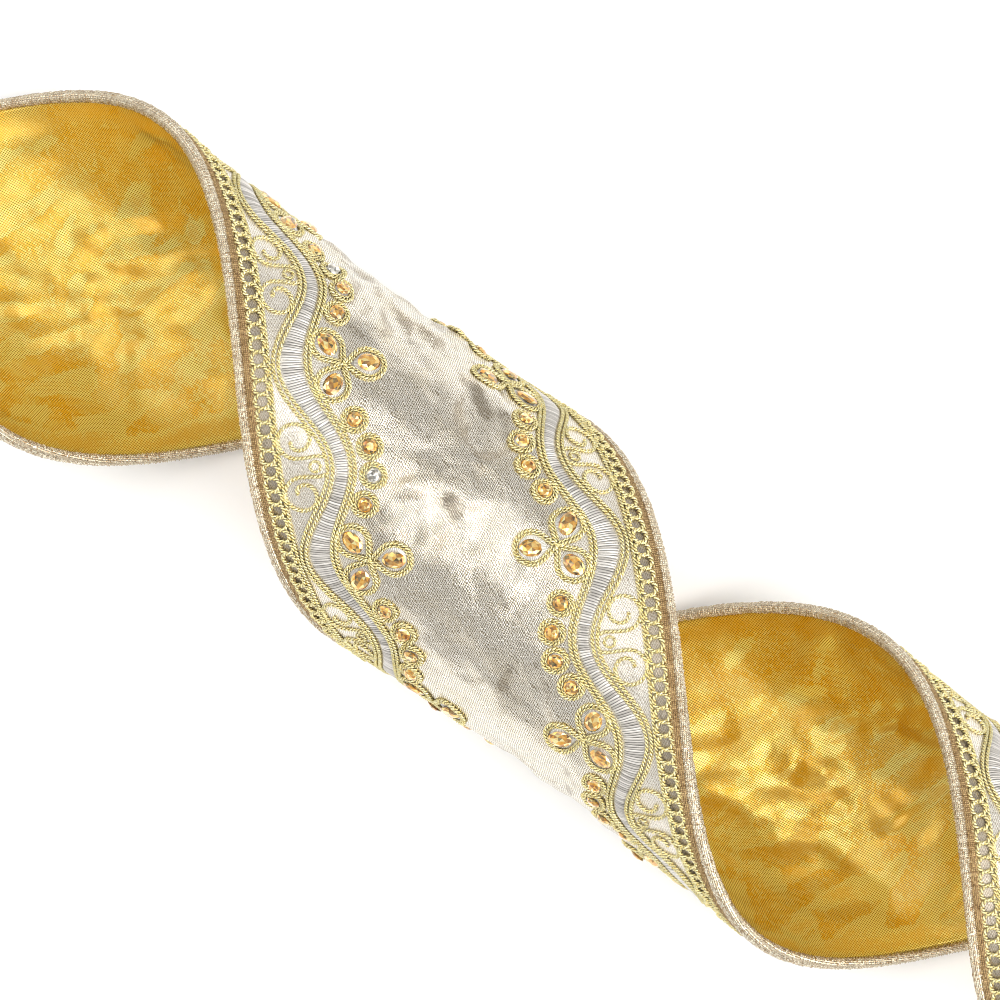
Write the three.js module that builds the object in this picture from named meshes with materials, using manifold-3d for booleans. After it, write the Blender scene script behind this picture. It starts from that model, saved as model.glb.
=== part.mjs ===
// A length of wide wired ribbon, wound into an open right-handed curl and laid down.
// Outside: silver lame with a corded, jewelled border along each edge. Inside: gold lame.
// Both cloths are caught, together with a spring wire, in a binding along each edge.
import * as THREE from "three";
import { mergeVertices } from "three/addons/utils/BufferGeometryUtils.js";
import Module from "manifold-3d";

const wasm = await Module();
wasm.setup();

// ---- Driving dimensions, in mm and degrees -------------------------------------------------
const RIBBON_WIDTH = 101.6; // four inches, over both bindings
const REPEAT = 50; // one repeat of the embroidery along the ribbon
const REPEATS = 12;
const WINDING_ANGLE = THREE.MathUtils.degToRad(48.1); // ribbon's length against the curl's axis
const START_BEFORE_SIDE = 172; // ribbon before its centreline first reaches the curl's +Y side

const CURL_RADIUS = 39.7; // to the middle of the ribbon's thickness
const SHOULDER_RADIUS = 24; // tighter bend where the curl meets its flat
const TAIL_RADIUS = 34; // the last half turn closes in a little
const FLAT_LENGTH = 16; // part of each turn that lies flat on the table
const FACET = THREE.MathUtils.degToRad(13.5);
const WAVE_STEP = 5.4; // longest stretch between sections of a wavy cord, round the profile
const WIRE_SIDES = 5;
const ROUND_SIDES = 6;
const BOW_POINTS = 6; // round the blunt end of a teardrop setting
const SCROLL_STEPS = 8; // along each scroll's curl
const TOLERANCE = 0.05; // a joined solid's outline may move this far as it is simplified
const WELD = 1e-4; // points nearer than this are one

const CLOTH_THICKNESS = 0.35;
const GAP = 0.3; // between pieces that touch in the real ribbon
const CLOTH_FACE = GAP / 2 + CLOTH_THICKNESS; // outer skin of either cloth
const TRIM_BASE = CLOTH_FACE + GAP; // underside of everything sewn on the front

const BINDING_WIDTH = 3.8;
const BINDING_HALF_HEIGHT = 1.9;
const BINDING_WALL = 0.9;
const BINDING_CHAMFER = 0.8;
const WIRE_RADIUS = 0.5;
const TUCK = 1; // how far the cloths reach into the binding's mouth

const CHAIN_CENTRE = 44.9; // from the ribbon's centreline
const CHAIN_WIDTH = 3.4;
const WAVE_CORD = { mean: 35.5, swing: 5.6, width: 1.2 };
const SWAG_CORD = { mean: 27.8, swing: 4.1, width: 2 };
const CORD_TOP = 1.6;
const SATIN_TOP = 1.3;

const TREFOIL_AT = 11.5; // trefoil's axis, from the start of its repeat
const TREFOIL_HEART = 23.7; // where its three petals meet, from the centreline
const PETAL_REACH = 6.1; // heart to the middle of a petal's stone
const PETAL_POINT = 7.4; // middle of the stone to the petal's point, just past the heart
const PETAL_RADIUS = 3.9;
const PETAL_TILTS = [34, 146, 270];
const ROUND_RADIUS = 3.8;
const ROUNDS = [
  { along: -10.8, across: 23.3 },
  { along: -3.5, across: 20.2 },
  { along: 3.5, across: 20.2 },
  { along: 10.8, across: 23.3 },
];
const CORNER_CLEARANCE = 0.15; // for the cloth's own corners, where it bends under a jewel
const JEWEL_BASE = TRIM_BASE + CORNER_CLEARANCE;
const JEWEL_SHOULDER = 0.55; // height of a stone's girdle above the setting's underside
const JEWEL_HEIGHT = 0.95;
const STONE_SHARE = 0.6; // stone's outline against its setting's

const SCROLL_CENTRE = { along: 5.5, across: 37.3 };
const SCROLL_OUTER = 4.9;
const SCROLL_INNER = 1.7;
const SCROLL_SWEEP = [-50, 330];
const SCROLL_CORD = 0.9;
const SCROLL_TOP = 1.5;
const EYELET_DIP = 31.8; // lowest point of the eyelet between two scrolls

const HALF_WIDTH = RIBBON_WIDTH / 2;
const CLOTH_HALF_WIDTH = HALF_WIDTH - BINDING_WIDTH + TUCK;
const RIBBON_START = -START_BEFORE_SIDE;
const RIBBON_END = RIBBON_START + REPEAT * REPEATS;
const COS = Math.cos(WINDING_ANGLE);
const SIN = Math.sin(WINDING_ANGLE);

// ---- Materials -----------------------------------------------------------------------------
function finish(name, color, metalness, roughness) {
  return new THREE.MeshStandardMaterial({ name, color, metalness, roughness });
}
const silverLame = finish("silver_lame", 0xc9c4bc, 0.7, 0.4);
const goldLame = finish("gold_lame", 0xd9a321, 0.8, 0.35);
const springWire = finish("spring_wire", 0x8d8f92, 1, 0.4);
const champagneBinding = finish("champagne_binding", 0xcbb096, 0.6, 0.5);
const goldCord = finish("gold_cord", 0xc9bb58, 0.7, 0.4);
const satinThread = finish("satin_thread", 0xbcc1c8, 0.4, 0.45);
const amberJewel = finish("amber_jewel", 0xd28a32, 0.2, 0.15);

// ---- The winding ---------------------------------------------------------------------------
// A place on the ribbon is (along, across, out): mm along its length, across from its
// centreline and out from the middle of its thickness. The curl is a straight-sided cylinder
// along X, so the ribbon bends only in the YZ plane. "arc" is the distance round that profile,
// zero on the +Y side and growing over the top.
const shoulderSweep = Math.asin(FLAT_LENGTH / 2 / (CURL_RADIUS - SHOULDER_RADIUS));
const bend = (radius, sweep) => ({ length: radius * sweep, radius });
const flat = { length: FLAT_LENGTH, radius: Infinity };
const shoulder = bend(SHOULDER_RADIUS, shoulderSweep);
const QUARTER = Math.PI / 2;
const FORWARD = [
  bend(CURL_RADIUS, 3 * QUARTER - shoulderSweep),
  shoulder,
  flat,
  shoulder,
  bend(CURL_RADIUS, QUARTER - shoulderSweep),
  bend(TAIL_RADIUS, 2 * QUARTER),
];
const BACKWARD = [
  bend(CURL_RADIUS, QUARTER - shoulderSweep),
  shoulder,
  flat,
  bend(CURL_RADIUS, 2 * QUARTER),
];

// Walks the bends from the +Y side and returns the corners of the faceted profile.
function walkProfile(pieces, direction) {
  const corners = [];
  let arc = 0;
  let y = CURL_RADIUS;
  let z = 0;
  let heading = QUARTER;
  for (const { length, radius } of pieces) {
    const steps = Math.max(1, Math.round(length / radius / FACET));
    const step = length / steps;
    const turn = step / radius;
    const chord = turn ? 2 * radius * Math.sin(turn / 2) : step;
    for (let i = 0; i < steps; i++) {
      const chordHeading = heading + (direction * turn) / 2;
      y += direction * chord * Math.cos(chordHeading);
      z += direction * chord * Math.sin(chordHeading);
      heading += direction * turn;
      arc += direction * step;
      corners.push({ arc, y, z });
    }
  }
  return corners;
}

const corners = [
  ...walkProfile(BACKWARD, -1).reverse(),
  { arc: 0, y: CURL_RADIUS, z: 0 },
  ...walkProfile(FORWARD, 1),
];
const facets = corners.slice(1).map((end, i) => {
  const start = corners[i];
  const length = Math.hypot(end.y - start.y, end.z - start.z);
  const forward = { y: (end.y - start.y) / length, z: (end.z - start.z) / length };
  return { start, end, forward, outward: { y: forward.z, z: -forward.y } };
});
// Each corner's mitre keeps offset facets parallel.
corners.forEach((corner, i) => {
  const before = facets[Math.max(0, i - 1)].outward;
  const after = facets[Math.min(facets.length - 1, i)].outward;
  const spread = 1 + before.y * after.y + before.z * after.z;
  corner.mitre = { y: (before.y + after.y) / spread, z: (before.z + after.z) / spread };
});

const arcAt = (along, across) => SIN * along - COS * across;
const facetAt = (arc) => facets.find((facet) => arc <= facet.end.arc) ?? facets.at(-1);

function place(along, across, out) {
  const arc = arcAt(along, across);
  const { start, end } = facetAt(arc);
  const share = (arc - start.arc) / (end.arc - start.arc);
  const mix = (axis) =>
    (1 - share) * (start[axis] + out * start.mitre[axis]) +
    share * (end[axis] + out * end.mitre[axis]);
  return new THREE.Vector3(COS * along + SIN * across, mix("y"), mix("z"));
}

// ---- Solids --------------------------------------------------------------------------------
function solidFrom(points, triangles) {
  const geometry = new THREE.BufferGeometry().setFromPoints(points);
  geometry.setIndex(triangles.flat());
  const merged = mergeVertices(geometry, WELD);
  const index = Array.from(merged.index.array);
  const faces = triangles.map((_, i) => index.slice(3 * i, 3 * i + 3));
  const triVerts = new Uint32Array(faces.filter((face) => new Set(face).size === 3).flat());
  const vertProperties = merged.attributes.position.array;
  const facing = new wasm.Manifold(new wasm.Mesh({ numProp: 3, vertProperties, triVerts }));
  if (facing.volume() > 0) return facing;
  for (let i = 0; i < triVerts.length; i += 3) {
    [triVerts[i + 1], triVerts[i + 2]] = [triVerts[i + 2], triVerts[i + 1]];
  }
  return new wasm.Manifold(new wasm.Mesh({ numProp: 3, vertProperties, triVerts }));
}

function geometryOf(solid) {
  const { vertProperties, triVerts } = solid.getMesh();
  const geometry = new THREE.BufferGeometry();
  geometry.setAttribute("position", new THREE.BufferAttribute(vertProperties, 3));
  geometry.setIndex(new THREE.BufferAttribute(triVerts, 1));
  geometry.computeVertexNormals();
  return geometry;
}

// A solid through matching closed sections, capped at both ends.
function loft(sections) {
  const around = sections[0].length;
  const points = sections.flat();
  const triangles = [];
  for (let i = 0; i < sections.length - 1; i++) {
    const here = i * around;
    const next = here + around;
    for (let j = 0; j < around; j++) {
      const k = (j + 1) % around;
      triangles.push([here + j, next + k, next + j], [here + j, here + k, next + k]);
    }
  }
  for (const [cap, flip] of [[0, false], [sections.length - 1, true]]) {
    const outline = capOutline(sections[cap]);
    for (const face of THREE.ShapeUtils.triangulateShape(outline, [])) {
      const [a, b, c] = face.map((j) => cap * around + j);
      triangles.push(flip ? [a, b, c] : [a, c, b]);
    }
  }
  return solidFrom(points, triangles);
}

// A section's own outline, flattened into its plane and made anticlockwise.
function capOutline(section) {
  const centre = section.reduce((sum, p) => sum.add(p), new THREE.Vector3());
  centre.divideScalar(section.length);
  const normal = new THREE.Vector3();
  section.forEach((p, i) => {
    const q = section[(i + 1) % section.length];
    normal.add(p.clone().sub(centre).cross(q.clone().sub(centre)));
  });
  normal.normalize();
  const right = section[1].clone().sub(section[0]).normalize();
  const up = normal.clone().cross(right);
  return section.map((p) => {
    const arm = p.clone().sub(centre);
    return new THREE.Vector2(arm.dot(right), arm.dot(up));
  });
}

const SETTLING_PASSES = 40;

// A trim that runs along the ribbon. outline(along) gives its section as [across, out] pairs;
// one section stands on every facet corner, so the trim keeps to the cloth's facets.
function runningTrim(outline, start, end, longestStep = Infinity) {
  const size = outline(start).length;
  const square = (along) => outline(along).map(([across, out]) => place(along, across, out));
  // Where a point of the outline meets a facet's edge: each pass comes closer to the answer.
  const onLine = (arc, j) => {
    let along = arc / SIN;
    for (let pass = 0; pass < SETTLING_PASSES; pass++) {
      along = (arc + COS * outline(along)[j][0]) / SIN;
    }
    return along;
  };
  const sections = [square(start)];
  for (const facet of facets) {
    const steps = Math.max(1, Math.ceil((facet.end.arc - facet.start.arc) / longestStep));
    for (let step = 0; step < steps; step++) {
      const arc = THREE.MathUtils.lerp(facet.start.arc, facet.end.arc, step / steps);
      const alongs = Array.from({ length: size }, (_, j) => onLine(arc, j));
      if (Math.max(...alongs) < start || Math.min(...alongs) > end) continue;
      const kept = alongs.map((along) => THREE.MathUtils.clamp(along, start, end));
      sections.push(kept.map((along, j) => place(along, ...outline(along)[j])));
    }
  }
  sections.push(square(end));
  return loft(sections);
}

// ---- Cloths --------------------------------------------------------------------------------
// Keeps the part of a convex outline where keep(point) is positive.
function clip(outline, keep) {
  return outline.flatMap((p, i) => {
    const q = outline[(i + 1) % outline.length];
    const [a, b] = [keep(p), keep(q)];
    const kept = a >= 0 ? [p] : [];
    if (a * b >= 0) return kept;
    const share = a / (a - b);
    return [...kept, p.map((value, axis) => value + share * (q[axis] - value))];
  });
}

function cloth(inner, outer) {
  const rectangle = [
    [RIBBON_START, -CLOTH_HALF_WIDTH],
    [RIBBON_END, -CLOTH_HALF_WIDTH],
    [RIBBON_END, CLOTH_HALF_WIDTH],
    [RIBBON_START, CLOTH_HALF_WIDTH],
  ];
  const near = (a, b) => Math.abs(a - b) < WELD;
  const onRim = (p, q) =>
    (near(p[0], q[0]) && (near(p[0], RIBBON_START) || near(p[0], RIBBON_END))) ||
    (near(p[1], q[1]) && near(Math.abs(p[1]), CLOTH_HALF_WIDTH));
  const points = [];
  const triangles = [];
  for (const facet of facets) {
    const afterStart = clip(rectangle, (p) => arcAt(...p) - facet.start.arc);
    const panel = clip(afterStart, (p) => facet.end.arc - arcAt(...p));
    if (panel.length < 3) continue;
    const first = points.length;
    const count = panel.length;
    for (const out of [inner, outer]) {
      points.push(...panel.map(([along, across]) => place(along, across, out)));
    }
    for (let i = 1; i < count - 1; i++) {
      triangles.push([first, first + i + 1, first + i]);
      triangles.push([first + count, first + count + i, first + count + i + 1]);
    }
    panel.forEach((p, i) => {
      const j = (i + 1) % count;
      if (!onRim(p, panel[j])) return;
      triangles.push([first + i, first + j, first + count + j]);
      triangles.push([first + i, first + count + j, first + count + i]);
    });
  }
  return solidFrom(points, triangles);
}

// ---- Edges ---------------------------------------------------------------------------------
// A C-shaped binding: closed round the wire at the ribbon's edge, open towards the cloths.
function binding(side) {
  const lip = HALF_WIDTH - BINDING_WIDTH;
  const mouth = CLOTH_FACE + GAP;
  const half = [
    [HALF_WIDTH - BINDING_WALL, mouth],
    [lip, mouth],
    [lip, BINDING_HALF_HEIGHT],
    [HALF_WIDTH - BINDING_CHAMFER, BINDING_HALF_HEIGHT],
    [HALF_WIDTH, BINDING_HALF_HEIGHT - BINDING_CHAMFER],
  ];
  const outline = [...half, ...half.map(([across, out]) => [across, -out]).reverse()];
  const section = outline.map(([across, out]) => [side * across, out]);
  return runningTrim(() => section, RIBBON_START, RIBBON_END);
}

function edgeWire(side) {
  const centre = HALF_WIDTH - BINDING_WALL - GAP - WIRE_RADIUS;
  const section = Array.from({ length: WIRE_SIDES }, (_, i) => {
    const angle = (i * 2 * Math.PI) / WIRE_SIDES;
    return [side * (centre + WIRE_RADIUS * Math.cos(angle)), WIRE_RADIUS * Math.sin(angle)];
  });
  return runningTrim(() => section, RIBBON_START, RIBBON_END);
}

// ---- Embroidery ----------------------------------------------------------------------------
// Both waves stand furthest from the centreline at each trefoil.
function waveAt(wave, along) {
  const phase = (2 * Math.PI * (along - RIBBON_START - TREFOIL_AT)) / REPEAT;
  return wave.mean + wave.swing * Math.cos(phase);
}

function ringChain(side) {
  const section = [
    [side * (CHAIN_CENTRE - CHAIN_WIDTH / 2), TRIM_BASE],
    [side * (CHAIN_CENTRE + CHAIN_WIDTH / 2), TRIM_BASE],
    [side * (CHAIN_CENTRE + CHAIN_WIDTH / 2), SATIN_TOP],
    [side * (CHAIN_CENTRE - CHAIN_WIDTH / 2), SATIN_TOP],
  ];
  return runningTrim(() => section, RIBBON_START, RIBBON_END);
}

function waveCord(side) {
  const outline = (along) => {
    const centre = waveAt(WAVE_CORD, along);
    return [
      [side * (centre - WAVE_CORD.width / 2), TRIM_BASE],
      [side * (centre + WAVE_CORD.width / 2), TRIM_BASE],
      [side * centre, CORD_TOP],
    ];
  };
  return runningTrim(outline, RIBBON_START, RIBBON_END, WAVE_STEP);
}

function satinBand(side) {
  const outline = (along) => {
    const far = waveAt(WAVE_CORD, along) - WAVE_CORD.width / 2 - GAP;
    const near = waveAt(SWAG_CORD, along) + SWAG_CORD.width / 2 + GAP;
    return [
      [side * near, TRIM_BASE],
      [side * far, TRIM_BASE],
      [side * far, SATIN_TOP],
      [side * near, SATIN_TOP],
    ];
  };
  return runningTrim(outline, RIBBON_START, RIBBON_END, WAVE_STEP);
}

// A jewel in its corded setting, bent with the cloth. The outline is that of the setting, about
// the middle of the stone.
function jewel(outline, side, along, across) {
  const at = (a, b, height) => place(along + a, side * (across + b), JEWEL_BASE + height);
  const ring = (scale, height) => outline.map(([a, b]) => at(scale * a, scale * b, height));
  const points = [...ring(1, 0), ...ring(STONE_SHARE, JEWEL_SHOULDER)];
  points.push(at(0, 0, 0), at(0, 0, JEWEL_HEIGHT));
  const count = outline.length;
  const [foot, apex] = [2 * count, 2 * count + 1];
  const triangles = outline.flatMap((_, i) => {
    const j = (i + 1) % count;
    return [
      [foot, j, i],
      [i, j, count + j],
      [i, count + j, count + i],
      [count + i, count + j, apex],
    ];
  });
  return solidFrom(points, triangles);
}

function roundOutline() {
  return Array.from({ length: ROUND_SIDES }, (_, i) => {
    const angle = ((i + 0.5) * 2 * Math.PI) / ROUND_SIDES;
    return [ROUND_RADIUS * Math.cos(angle), ROUND_RADIUS * Math.sin(angle)];
  });
}

// A teardrop whose point reaches the trefoil's heart, on the side away from its tilt.
function petalOutline(tilt) {
  const tangent = Math.acos(PETAL_RADIUS / PETAL_POINT);
  const point = [-PETAL_POINT * Math.cos(tilt), -PETAL_POINT * Math.sin(tilt)];
  const bow = Array.from({ length: BOW_POINTS }, (_, i) => {
    const share = i / (BOW_POINTS - 1);
    const angle = tilt + Math.PI + tangent + share * 2 * (Math.PI - tangent);
    return [PETAL_RADIUS * Math.cos(angle), PETAL_RADIUS * Math.sin(angle)];
  });
  return [point, ...bow];
}

// One repeat of the inner cord, with the trefoil and the four round jewels that hang from it.
function jewelSwag(side, repeat) {
  const start = RIBBON_START + repeat * REPEAT;
  const outline = (along) => {
    const centre = waveAt(SWAG_CORD, along);
    return [
      [side * (centre - SWAG_CORD.width / 2), TRIM_BASE],
      [side * (centre + SWAG_CORD.width / 2), TRIM_BASE],
      [side * (centre + SWAG_CORD.width / 4), CORD_TOP],
      [side * (centre - SWAG_CORD.width / 4), CORD_TOP],
    ];
  };
  const cord = runningTrim(outline, start + GAP / 2, start + REPEAT - GAP / 2, WAVE_STEP);
  const axis = start + TREFOIL_AT;
  const petals = PETAL_TILTS.map((degrees) => {
    const tilt = THREE.MathUtils.degToRad(degrees);
    const along = axis + PETAL_REACH * Math.cos(tilt);
    const across = TREFOIL_HEART + PETAL_REACH * Math.sin(tilt);
    return jewel(petalOutline(tilt), side, along, across);
  });
  const rounds = ROUNDS.map(({ along, across }) =>
    jewel(roundOutline(), side, axis + REPEAT / 2 + along, across),
  );
  return wasm.Manifold.union([cord, ...petals, ...rounds]).simplify(TOLERANCE);
}

// A cord of roof-shaped section couched along a path of [along, across] places.
function couchedCord(path, side) {
  const sections = path.map(([along, across], i) => {
    const before = path[Math.max(0, i - 1)];
    const after = path[Math.min(path.length - 1, i + 1)];
    const run = Math.hypot(after[0] - before[0], after[1] - before[1]);
    const reach = SCROLL_CORD / 2 / run;
    const sideways = [-reach * (after[1] - before[1]), reach * (after[0] - before[0])];
    return [
      place(along + sideways[0], side * (across + sideways[1]), TRIM_BASE),
      place(along - sideways[0], side * (across - sideways[1]), TRIM_BASE),
      place(along, side * across, SCROLL_TOP),
    ];
  });
  return loft(sections);
}

// One cord that curls out of a C-scroll, dips round a small eyelet and curls into another.
function scrollMotif(side, repeat) {
  const axis = RIBBON_START + repeat * REPEAT + TREFOIL_AT + REPEAT / 2;
  const [from, to] = SCROLL_SWEEP.map(THREE.MathUtils.degToRad);
  const curl = (hand) =>
    Array.from({ length: SCROLL_STEPS + 1 }, (_, i) => {
      const angle = THREE.MathUtils.lerp(from, to, i / SCROLL_STEPS);
      const radius = THREE.MathUtils.lerp(SCROLL_OUTER, SCROLL_INNER, i / SCROLL_STEPS);
      return [
        axis + hand * (SCROLL_CENTRE.along - radius * Math.cos(angle)),
        SCROLL_CENTRE.across + radius * Math.sin(angle),
      ];
    });
  const path = [...curl(-1).reverse(), [axis, EYELET_DIP], ...curl(1)];
  return couchedCord(path, side);
}

// ---- Assembly ------------------------------------------------------------------------------
const ribbon = new THREE.Group();
ribbon.name = "wired_ribbon";

function add(name, solid, material) {
  const mesh = new THREE.Mesh(geometryOf(solid), material);
  mesh.name = name;
  ribbon.add(mesh);
}

add("front_fabric", cloth(GAP / 2, CLOTH_FACE), silverLame);
add("backing_fabric", cloth(-CLOTH_FACE, -GAP / 2), goldLame);
for (const [edge, side] of [["a", -1], ["b", 1]]) {
  add(`edge_wire_${edge}`, edgeWire(side), springWire);
  add(`edge_binding_${edge}`, binding(side), champagneBinding);
  add(`ring_chain_${edge}`, ringChain(side), goldCord);
  add(`wave_cord_${edge}`, waveCord(side), goldCord);
  add(`satin_band_${edge}`, satinBand(side), satinThread);
  for (let repeat = 0; repeat < REPEATS; repeat++) {
    const number = String(repeat + 1).padStart(2, "0");
    add(`scroll_${edge}_${number}`, scrollMotif(side, repeat), goldCord);
    add(`jewel_swag_${edge}_${number}`, jewelSwag(side, repeat), amberJewel);
  }
}

// The frame stands on the table, under the middle of the curl.
const box = new THREE.Box3().setFromObject(ribbon);
const middle = box.getCenter(new THREE.Vector3());
ribbon.position.set(-middle.x, -middle.y, -box.min.z);

const part = new THREE.Group();
part.add(ribbon);
export default part;
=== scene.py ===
"""A curled length of wide wired ribbon: silver lame outside with corded, jewelled borders, gold
lame inside, and both edges overlocked over a wire. Lengths are in mm along, across and out from
the ribbon until place() puts them on the curl, in metres."""
import math
import bpy
import numpy as np
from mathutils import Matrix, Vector


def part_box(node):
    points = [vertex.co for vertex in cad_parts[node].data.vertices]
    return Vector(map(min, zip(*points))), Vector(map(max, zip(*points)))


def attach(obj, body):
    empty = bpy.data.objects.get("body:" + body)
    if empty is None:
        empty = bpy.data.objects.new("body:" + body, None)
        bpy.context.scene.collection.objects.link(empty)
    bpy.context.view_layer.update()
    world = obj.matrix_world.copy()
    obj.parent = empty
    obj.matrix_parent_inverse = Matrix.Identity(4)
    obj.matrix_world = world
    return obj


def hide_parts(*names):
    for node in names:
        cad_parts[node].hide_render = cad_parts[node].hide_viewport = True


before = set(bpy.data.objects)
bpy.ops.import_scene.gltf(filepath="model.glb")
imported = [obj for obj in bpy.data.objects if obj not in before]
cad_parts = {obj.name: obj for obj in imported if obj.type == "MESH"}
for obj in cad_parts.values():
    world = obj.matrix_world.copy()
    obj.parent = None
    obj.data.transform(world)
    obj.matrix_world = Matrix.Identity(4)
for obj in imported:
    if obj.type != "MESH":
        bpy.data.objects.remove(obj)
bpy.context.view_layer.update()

MM = 0.001

# ---- The ribbon's own dimensions, as in the CAD model ----------------------------------------
RIBBON_WIDTH = 101.6
HALF_WIDTH = RIBBON_WIDTH / 2
REPEAT = 50
REPEATS = 12
RIBBON_START = -172
RIBBON_END = RIBBON_START + REPEAT * REPEATS
WINDING_ANGLE = math.radians(48.1)
COS, SIN = math.cos(WINDING_ANGLE), math.sin(WINDING_ANGLE)
CURL_RADIUS = 39.7
SHOULDER_RADIUS = 24
TAIL_RADIUS = 34
FLAT_LENGTH = 16
BINDING_HALF_HEIGHT = 1.9
TREFOIL_AT = 11.5
SIDES = {"a": -1, "b": 1}


# ---- The winding -----------------------------------------------------------------------------
def build_winding():
    """The profile's bends as rows of start arc, curvature, y, z and heading."""
    sweep = math.asin(FLAT_LENGTH / 2 / (CURL_RADIUS - SHOULDER_RADIUS))
    quarter = math.pi / 2
    round_ = (CURL_RADIUS, CURL_RADIUS * (quarter - sweep))
    shoulder = (SHOULDER_RADIUS, SHOULDER_RADIUS * sweep)
    flat = (math.inf, FLAT_LENGTH)
    forward = [
        (CURL_RADIUS, CURL_RADIUS * (3 * quarter - sweep)),
        shoulder,
        flat,
        shoulder,
        round_,
        (TAIL_RADIUS, TAIL_RADIUS * 2 * quarter),
    ]
    backward = [round_, shoulder, flat, (CURL_RADIUS, CURL_RADIUS * 2 * quarter)]
    rows = []

    def walk(pieces, direction):
        arc, y, z, heading = 0.0, CURL_RADIUS, 0.0, quarter
        for radius, length in pieces:
            turn = direction * length / radius
            if direction > 0:
                rows.append((arc, 1 / radius, y, z, heading))
            chord = 2 * radius * math.sin(abs(turn) / 2) if turn else length
            y += direction * chord * math.cos(heading + turn / 2)
            z += direction * chord * math.sin(heading + turn / 2)
            heading += turn
            arc += direction * length
            if direction < 0:
                rows.append((arc, 1 / radius, y, z, heading))

    walk(forward, 1)
    walk(backward, -1)
    return np.array(sorted(rows))


WINDING = build_winding()


def axis_origin():
    """Where the curl's axis passes the ribbon's zero, in metres, found from the CAD's box."""
    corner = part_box("edge_binding_b")[1]
    x = corner[0] - MM * (COS * RIBBON_END + SIN * HALF_WIDTH)
    y = corner[1] - MM * (CURL_RADIUS + BINDING_HALF_HEIGHT)
    sweep = math.asin(FLAT_LENGTH / 2 / (CURL_RADIUS - SHOULDER_RADIUS))
    drop = (CURL_RADIUS - SHOULDER_RADIUS) * math.cos(sweep) + SHOULDER_RADIUS
    return np.array([x, y, MM * (drop + BINDING_HALF_HEIGHT)])


ORIGIN = axis_origin()


def profile_at(arc):
    """The profile's point and heading at each distance round it."""
    row = WINDING[np.clip(np.searchsorted(WINDING[:, 0], arc, side="right") - 1, 0, None)]
    start, curvature, y, z, heading = np.moveaxis(row, -1, 0)
    run = arc - start
    turn = curvature * run
    chord = run * np.sinc(turn / 2 / np.pi)
    middle = heading + turn / 2
    return y + chord * np.cos(middle), z + chord * np.sin(middle), heading + turn


def place(along, across, out):
    along, across, out = np.broadcast_arrays(along, across, out)
    y, z, heading = profile_at(SIN * along - COS * across)
    points = np.stack(
        [
            COS * along + SIN * across,
            y + out * np.sin(heading),
            z - out * np.cos(heading),
        ],
        -1,
    )
    return ORIGIN + MM * points


def frame_at(along, across):
    """The ribbon's along, across and out directions at one place, as a 3 by 3 array."""
    _, _, heading = profile_at(np.array(SIN * along - COS * across))
    c, s = math.cos(heading), math.sin(heading)
    return np.array([[COS, SIN * c, SIN * s], [SIN, -COS * c, -COS * s], [0, s, -c]])


# ---- Creases ---------------------------------------------------------------------------------
def noise(x, y, seed):
    """Smooth gradient noise, about -0.7 to 0.7, the same on every run."""
    angles = np.random.default_rng(seed).random((256, 256)) * 2 * np.pi
    xi, yi = np.floor(x).astype(int), np.floor(y).astype(int)
    xf, yf = x - xi, y - yi

    def corner(dx, dy):
        angle = angles[(xi + dx) % 256, (yi + dy) % 256]
        return np.cos(angle) * (xf - dx) + np.sin(angle) * (yf - dy)

    sx = xf * xf * xf * (xf * (xf * 6 - 15) + 10)
    sy = yf * yf * yf * (yf * (yf * 6 - 15) + 10)
    low = corner(0, 0) * (1 - sx) + corner(1, 0) * sx
    high = corner(0, 1) * (1 - sx) + corner(1, 1) * sx
    return low * (1 - sy) + high * sy


def smoothstep(value, low, high):
    t = np.clip((value - low) / (high - low), 0, 1)
    return t * t * (3 - 2 * t)


CLOTH_EDGE = 48.3  # how far the cloths reach into the bindings
DISH = 2.0  # the cloths' sag between the wired edges
FOLDS = [  # direction in degrees, spacing and height
    (70, 7, 0.7),
    (95, 5, 0.4),
    (118, 9, 0.9),
    (20, 10, 0.8),
    (160, 13, 0.9),
]
HOLLOWS = [(19, 1.4), (9, 0.75), (4.5, 0.28)]  # size and depth
FOLD_AREA = 29  # size of a patch that folds in one direction
DRIFT, DRIFT_SIZE = 9, 34  # how far the creases wander, and over what distance
CREASE_SCALE = 1.2  # of both cloths' creases together
STIFF_FROM, STIFF_TO = 16, 26  # from the centreline: the embroidery holds the cloth flat
HELD_FROM = 41  # from the centreline: the bindings begin to hold both cloths
HANG = 1.1  # the backing's mean distance from the front cloth
HANG_CREASE = 0.9  # how much its own creases add to that
CLOSED_END = 15  # the backing comes up to the front cloth this far before a cut end


def crumple(along, across, seed, softness=1.0):
    """Creases of handled lame: pressed folds in a few directions, and ridges between hollows."""
    u = along + DRIFT * noise(along / DRIFT_SIZE, across / DRIFT_SIZE, seed)
    v = across + DRIFT * noise(along / DRIFT_SIZE, across / DRIFT_SIZE, seed + 1)
    total = 0
    for number, (direction, spacing, height) in enumerate(FOLDS):
        angle = math.radians(direction)
        steps = (u * math.cos(angle) + v * math.sin(angle)) / spacing
        fold = np.abs((steps + 0.37 * number) % 2 - 1) - 0.5
        patch = noise(along / FOLD_AREA, across / FOLD_AREA, seed + 2 + number)
        where = smoothstep(patch, -0.15, 0.2)
        total = total + height * fold * where
    for number, (size, depth) in enumerate(HOLLOWS):
        ridge = np.abs(noise(u / size, v / size, seed + 10 + number))
        total = total - softness * depth * (ridge - 0.25)
    return total


def from_end(along):
    """How far a place is from the nearer cut end."""
    return np.minimum(along - RIBBON_START, RIBBON_END - along)


def pinned(across):
    """1 where the cloths are free, falling to 0 inside the bindings."""
    return 1 - smoothstep(np.abs(across), HELD_FROM, CLOTH_EDGE)


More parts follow.
